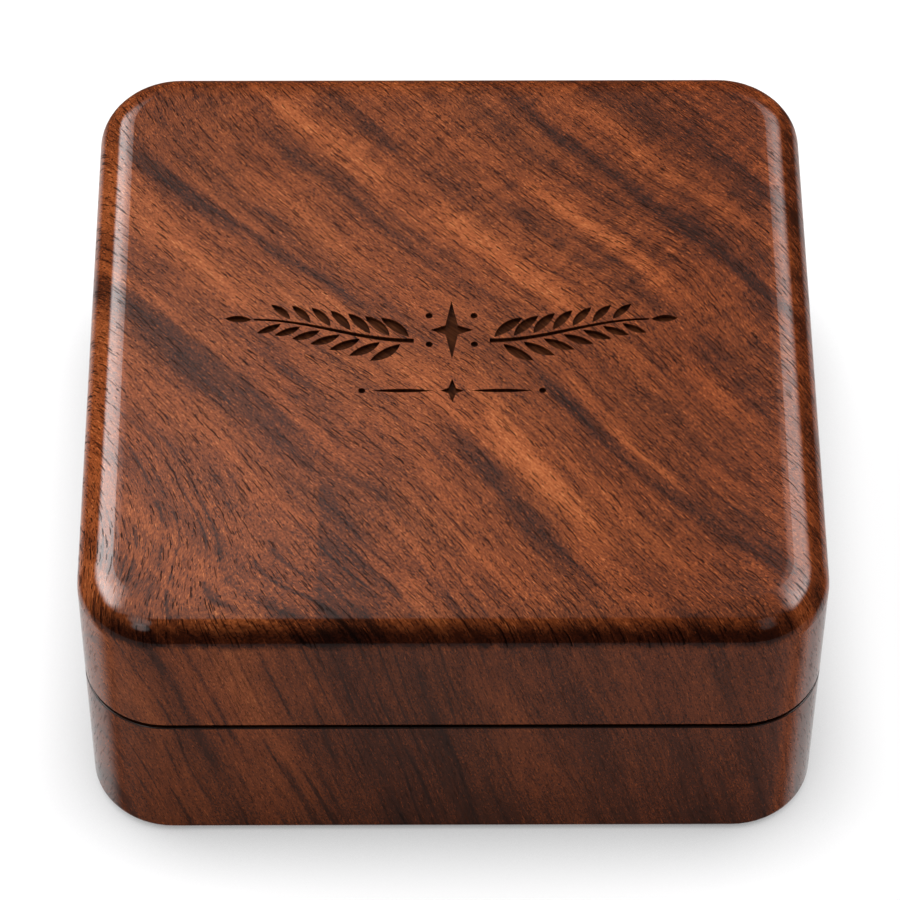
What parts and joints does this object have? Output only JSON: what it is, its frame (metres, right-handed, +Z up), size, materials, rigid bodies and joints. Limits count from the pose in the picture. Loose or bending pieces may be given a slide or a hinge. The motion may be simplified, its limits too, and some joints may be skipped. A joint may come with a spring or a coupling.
{
  "type": "sliding lid box",
  "caption": "Small square keepsake box in dark solid timber with rounded corners, a lined pocket and a thick lid that slides straight back on hidden dovetail runners.",
  "frame": {"origin": "centre of the footprint, on the surface that the box stands on", "axes": "+Z up, -Y the front, +Y the way that the lid slides open"},
  "size_m": [0.1, 0.1, 0.0477],
  "materials": {
    "walnut": "satin lacquer over oiled dark walnut, engraving burnt dark",
    "runner_wood": "waxed walnut",
    "brass": "plain turned brass",
    "magnet": "nickel plated",
    "velvet": "short pile velvet",
    "card": "plain grey board",
    "felt": "pressed wool felt"
  },
  "bodies": {
    "base": {"base_body": "walnut", "stop_pins": "brass", "base_magnets": "magnet", "wall_lining": "velvet", "floor_card": "card", "floor_cushion": "velvet", "underside_felt": "felt"},
    "lid": {"lid_body": "walnut", "left_runner": "runner_wood", "right_runner": "runner_wood", "runner_screws": "brass", "lid_magnets": "magnet", "lid_card": "card", "lid_pad": "velvet"}
  },
  "joints": [
    {"name": "lid_slide", "type": "slide", "parent": "base", "child": "lid", "axis": [0, 1, 0], "range_m": [0, 0.06]}
  ]
}
